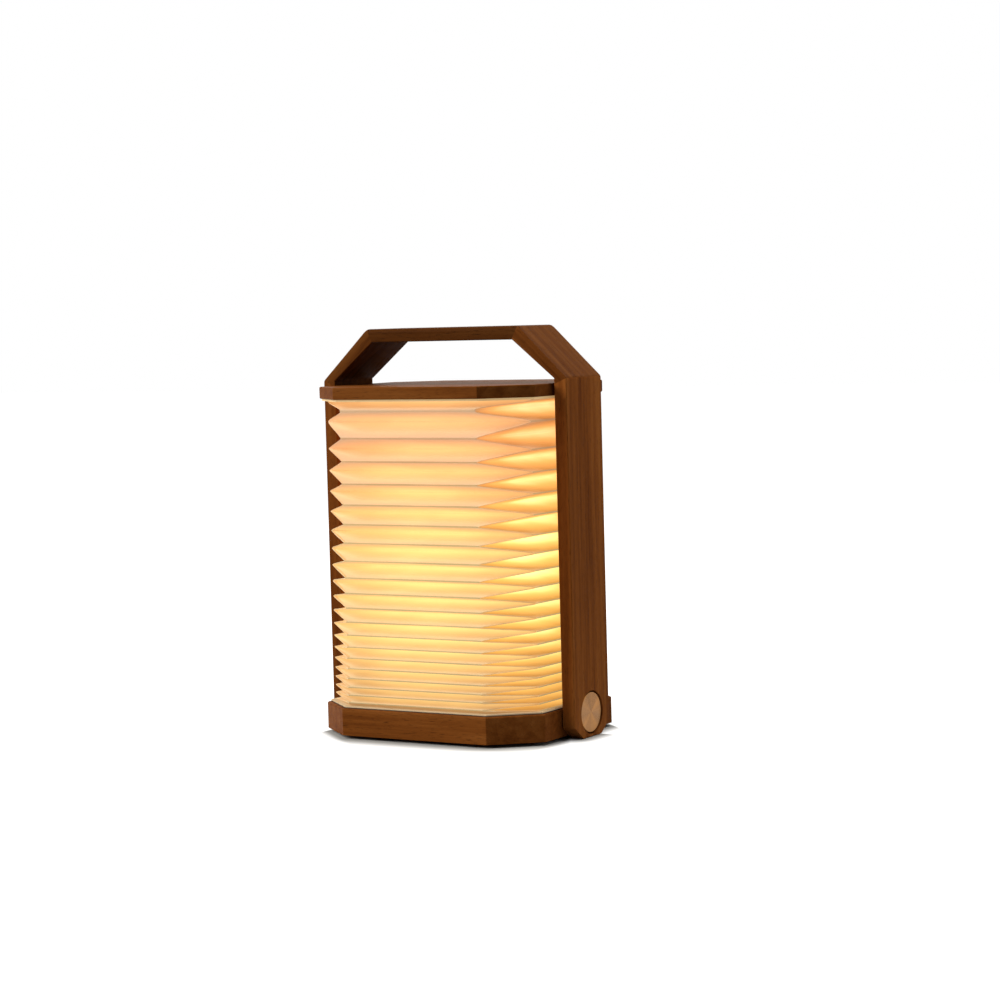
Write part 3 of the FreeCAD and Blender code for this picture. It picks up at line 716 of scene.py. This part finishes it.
def card_material(name, glow, strength):
    """Board with fine pulp, coloured tan as painted shade, glowing faintly from the lamp, with a
    painted shadow line along the gap underneath
    """
    # The board is tan rather than white: painted shade from the paper folded over it
    material = speckled_material(name, (0.52, 0.40, 0.26), (0.62, 0.50, 0.35), 0.0005, 0.75)
    tree = material.node_tree
    shader = tree.nodes["Principled BSDF"]
    low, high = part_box("lower_card")
    height = add_node(tree, "SeparateXYZ", {"Vector": object_place(tree)}).outputs["Z"]
    # Below this height the card's edge is painted dark as the shadow in the gap under it, and gets
    # no lamplight
    lit = spread(tree, height, low.z + GAP_SHADOW_HEIGHT, low.z + GAP_SHADOW_HEIGHT + GAP_SHADOW_FADE, 0.0, 1.0)
    ground = shader.inputs["Base Color"].links[0].from_socket
    tree.links.new(mix_colour(tree, lit, PAINTED_GAP_SHADOW, ground), shader.inputs["Base Color"])
    shader.inputs["Emission Color"].default_value = (*glow, 1.0)
    tree.links.new(calculate(tree, "MULTIPLY", lit, strength), shader.inputs["Emission Strength"])
    return material


class LANTERN_OT_dress_cards(bpy.types.Operator):
    """Cover the two cards that hold the paper in pale board"""
    bl_idname = "lantern.dress_cards"
    bl_label = "Dress the cards"

    def execute(self, context):
        for name, finish in CARDS.items():
            dress(name, card_material(*finish))
        return {"FINISHED"}


class LANTERN_OT_dress_light(bpy.types.Operator):
    """Finish the light board, its chips and the opal diffuser"""
    bl_idname = "lantern.dress_light"
    bl_label = "Dress the light module"

    def execute(self, context):
        for name, finish in SPECKLED_LIGHT.items():
            dress(name, speckled_material(*finish))
        return {"FINISHED"}


class LANTERN_OT_dress_base(bpy.types.Operator):
    """Finish what is under and inside the base, and the magnets of the catch"""
    bl_idname = "lantern.dress_base"
    bl_label = "Dress the base fittings"

    def execute(self, context):
        for name, finish in SPECKLED_BASE.items():
            dress(name, speckled_material(*finish))
        for name, finish in BRUSHED_BASE.items():
            dress(name, brushed_material(*finish))
        return {"FINISHED"}


def seen_ray(tree):
    """1 for what the camera sees, straight or in metal and glass, and 0 for other light"""
    rays = add_node(tree, "LightPath").outputs
    mirrored = calculate(tree, "MAXIMUM", rays["Is Glossy Ray"], rays["Is Transmission Ray"])
    return calculate(tree, "MAXIMUM", rays["Is Camera Ray"], mirrored)


def beyond_edges(tree, place, edges, stage):
    """How far out of the shadow a place lies, from 0 within the edges to 1 where the shadow ends"""
    forward = Vector((math.sin(stage.shadow_turn), -math.cos(stage.shadow_turn), 0))
    share = 0.0
    for normal, offset in edges:
        reach = stage.shadow_width * max(normal.dot(forward) * stage.shadow_stretch, 1)
        along = add_node(tree, "VectorMath", {0: place, 1: normal / reach}, operation="DOT_PRODUCT")
        gap = calculate(tree, "SUBTRACT", along.outputs["Value"], offset / reach)
        square = calculate(tree, "POWER", calculate(tree, "MAXIMUM", gap, 0.0), 2.0)
        share = calculate(tree, "ADD", square, share)
    return calculate(tree, "SQRT", share, 0.0)


def box_edges(half_length, half_depth):
    across, back = Vector((1, 0, 0)), Vector((0, 1, 0))
    return [(across, half_length), (-across, half_length), (back, half_depth), (-back, half_depth)]


def beyond_base(tree, stage):
    """How far out of the shadow of the base and of the legs' feet a place on the floor lies"""
    low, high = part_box("base_block")
    edges = box_edges(high.x, high.y)
    for x_side in (-1, 1):
        for y_side in (-1, 1):
            normal = Vector((x_side * CORNER_DEPTH, y_side * CORNER_LENGTH, 0)).normalized()
            corner = Vector((x_side * high.x, y_side * (high.y - CORNER_DEPTH), 0))
            edges.append((normal, corner.dot(normal)))
    leg_low, leg_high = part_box("right_leg")
    place = object_place(tree)
    base = beyond_edges(tree, place, edges, stage)
    feet = beyond_edges(tree, place, box_edges(leg_high.x, leg_high.y / 2), stage)
    return calculate(tree, "MINIMUM", base, feet)


def lay_floor(stage):
    """A pale floor that the camera sees as white, but for a narrow shadow round the base"""
    bpy.ops.mesh.primitive_plane_add(size=FLOOR_SIZE, location=(0, 0, 0))
    floor = bpy.context.object
    floor.name = "floor"
    material, tree, shader = new_material("pale_floor", Roughness=0.9)
    shader.inputs["Specular IOR Level"].default_value = 0.0
    shader.inputs["Base Color"].default_value = (*stage.floor, 1.0)
    shader.inputs["Emission Color"].default_value = (1.0, 1.0, 1.0, 1.0)
    white = add_node(tree, "MapRange", {"Value": beyond_base(tree, stage)},
                     interpolation_type="SMOOTHSTEP").outputs["Result"]
    strength = calculate(tree, "MULTIPLY", seen_ray(tree), white)
    tree.links.new(strength, shader.inputs["Emission Strength"])
    floor.data.materials.append(material)


def hang_lamp(name, direction, distance, size, level, stage):
    """A soft square lamp that gives a face turned to it this level of light"""
    aim = Vector(stage.aim)
    bpy.ops.object.light_add(type="AREA", location=aim + direction.normalized() * distance)
    lamp = bpy.context.object
    lamp.name = name
    lamp.rotation_mode = "QUATERNION"
    lamp.rotation_quaternion = direction.to_track_quat("Z", "Y")
    lamp.visible_camera = False
    lamp.data.shape = "SQUARE"
    lamp.data.size = size
    lamp.data.color = stage.light
    lamp.data.energy = level * (math.pi * distance) ** 2


def light_world(scene, stage):
    world = bpy.data.worlds.new("white_studio")
    scene.world = world
    world.use_nodes = True
    tree = world.node_tree
    ground = tree.nodes["Background"]
    ground.inputs["Color"].default_value = (1.0, 1.0, 1.0, 1.0)
    strength = spread(tree, seen_ray(tree), 0.0, 1.0, stage.surround, 1.0)
    tree.links.new(strength, ground.inputs["Strength"])


def place_camera(scene, stage):
    turn, rise, roll = stage.azimuth, stage.elevation, stage.roll
    back = Vector((math.sin(turn) * math.cos(rise), -math.cos(turn) * math.cos(rise),
                   math.sin(rise)))
    right = Vector((math.cos(turn), math.sin(turn), 0))
    up = back.cross(right)
    right, up = (right * math.cos(roll) - up * math.sin(roll),
                 up * math.cos(roll) + right * math.sin(roll))
    place = Vector(stage.aim) + back * stage.distance
    bpy.ops.object.camera_add(location=place)
    camera = bpy.context.object
    turned = Matrix((right, up, back)).transposed().to_4x4()
    camera.matrix_world = Matrix.Translation(place) @ turned
    camera.data.lens = stage.lens
    camera.data.shift_y = stage.rise
    scene.camera = camera


class LANTERN_OT_set_stage(bpy.types.Operator):
    """Lay the pale floor, hang the soft lamps and place the camera"""
    bl_idname = "lantern.set_stage"
    bl_label = "Set the stage"

    def execute(self, context):
        stage = context.scene.lantern_stage
        deselect()
        lay_floor(stage)
        for name, (direction, distance, size) in LAMPS.items():
            level = getattr(stage, name)
            hang_lamp(name + "_lamp", Vector(direction), distance, size, level, stage)
        light_world(context.scene, stage)
        place_camera(context.scene, stage)
        context.scene.view_settings.view_transform = "Standard"
        return {"FINISHED"}


class LANTERN_PT_sidebar(bpy.types.Panel):
    """Steps and settings of the lantern"""
    bl_idname = "LANTERN_PT_sidebar"
    bl_label = "Paper lantern"
    bl_space_type = "VIEW_3D"
    bl_region_type = "UI"
    bl_category = "Lantern"

    def draw(self, context):
        for step in STEPS:
            self.layout.operator(step.bl_idname)
        for name in SETTINGS:
            group = getattr(context.scene, name)
            box = self.layout.box()
            for key in group.bl_rna.properties.keys():
                if key not in {"rna_type", "name"}:
                    box.prop(group, key)


SETTINGS = {"lantern_shade": ShadeSettings, "lantern_wood": WoodSettings,
            "lantern_brass": BrassSettings, "lantern_stage": StageSettings}
STEPS = (LANTERN_OT_fold_shade, LANTERN_OT_finish_walnut, LANTERN_OT_spin_brass,
         LANTERN_OT_dress_cards, LANTERN_OT_dress_light, LANTERN_OT_dress_base,
         LANTERN_OT_set_stage)


def register():
    for kind in (*SETTINGS.values(), *STEPS, LANTERN_PT_sidebar):
        bpy.utils.register_class(kind)
    for name, kind in SETTINGS.items():
        setattr(bpy.types.Scene, name, bpy.props.PointerProperty(type=kind))


def unregister():
    for name in SETTINGS:
        delattr(bpy.types.Scene, name)
    for kind in reversed((*SETTINGS.values(), *STEPS, LANTERN_PT_sidebar)):
        bpy.utils.unregister_class(kind)


def main():
    register()
    bpy.ops.lantern.fold_shade()
    bpy.ops.lantern.finish_walnut()
    bpy.ops.lantern.spin_brass()
    bpy.ops.lantern.dress_cards()
    bpy.ops.lantern.dress_light()
    bpy.ops.lantern.dress_base()
    bpy.ops.lantern.set_stage()


if __name__ == "__main__":
    main()
